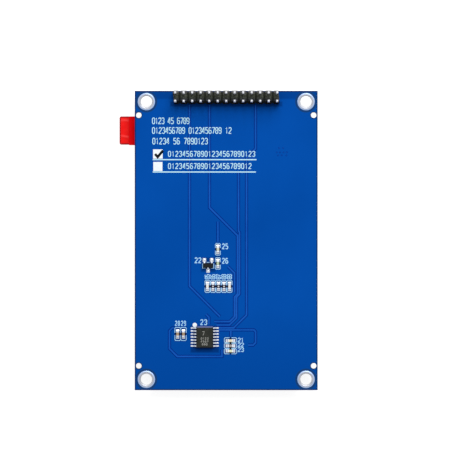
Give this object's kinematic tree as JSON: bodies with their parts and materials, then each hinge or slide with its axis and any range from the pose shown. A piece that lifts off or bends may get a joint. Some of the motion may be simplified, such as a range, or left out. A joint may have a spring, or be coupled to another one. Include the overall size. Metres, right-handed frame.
{
  "type": "tft display module",
  "caption": "Blue circuit board with a small touch display on its front, a double-row pin header and surface-mounted parts on its back, and a red pull tab on the display's film.",
  "frame": {"origin": "on the display's outer face, straight below the centre of the board", "axes": "+Z from the display face out through the component side, +Y along the board towards the header, +X across the board"},
  "size_m": [0.0597, 0.0901, 0.0146],
  "materials": {
    "board_blue": "glossy blue solder mask over glass fibre",
    "plating_tin": "tinned copper",
    "header_black": "moulded black nylon",
    "pin_tin": "tin-plated brass",
    "solder": "bright solder",
    "package_black": "moulded epoxy",
    "lead_tin": "tinned lead frame",
    "chip_pale": "pale ceramic chip with tinned ends",
    "chip_dark": "chip with a black cover coat and tinned ends",
    "capacitor_tan": "tan ceramic capacitor with tinned ends",
    "film_clear": "clear polyester film",
    "tab_red": "red polyester tab",
    "adhesive_black": "black adhesive foam",
    "tape_grey": "grey double-sided foam tape",
    "glass_clear": "clear glass",
    "polariser_dark": "dark polarising film",
    "chip_silicon": "bare silicon",
    "sheet_white": "translucent optical sheet",
    "guide_clear": "clear acrylic",
    "reflector_silver": "silvered reflector sheet",
    "frame_white": "moulded white polycarbonate",
    "tail_amber": "polyimide flexible circuit",
    "led_white": "white lamp housing"
  },
  "bodies": {
    "root": {"backlight_frame": "frame_white", "backlight_led_1": "led_white", "backlight_led_2": "led_white", "backlight_led_3": "led_white", "backlight_led_4": "led_white", "bank_chip_1": "chip_pale", "bank_chip_2": "chip_dark", "bank_chip_3": "chip_dark", "bank_chip_4": "chip_dark", "bank_chip_5": "chip_pale", "capacitor_left": "capacitor_tan", "capacitor_right": "capacitor_tan", "chip_solder": "solder", "circuit_board": "board_blue", "diffuser_sheet": "sheet_white", "display_tail": "tail_amber", "driver_chip": "chip_silicon", "foam_tape_left": "tape_grey", "foam_tape_right": "tape_grey", "front_glass": "glass_clear", "front_polariser": "polariser_dark", "header_housing": "header_black", "header_pins_inner": "pin_tin", "header_pins_outer": "pin_tin", "header_solder": "solder", "hole_platings": "plating_tin", "led_strip": "tail_amber", "light_guide": "guide_clear", "panel_adhesive": "adhesive_black", "prism_sheet_front": "sheet_white", "prism_sheet_rear": "sheet_white", "protective_film": "film_clear", "pull_tab": "tab_red", "rear_glass": "glass_clear", "rear_polariser": "polariser_dark", "reflector_sheet": "reflector_silver", "regulator_body": "package_black", "regulator_leads": "lead_tin", "resistor_lower": "chip_pale", "resistor_upper": "chip_pale", "stack_resistor_1": "chip_pale", "stack_resistor_2": "chip_pale", "stack_resistor_3": "chip_pale", "touch_controller_body": "package_black", "touch_controller_leads": "lead_tin", "touch_film": "film_clear", "touch_glass": "glass_clear", "touch_spacer": "adhesive_black", "touch_tail": "tail_amber"}
  },
  "joints": []
}
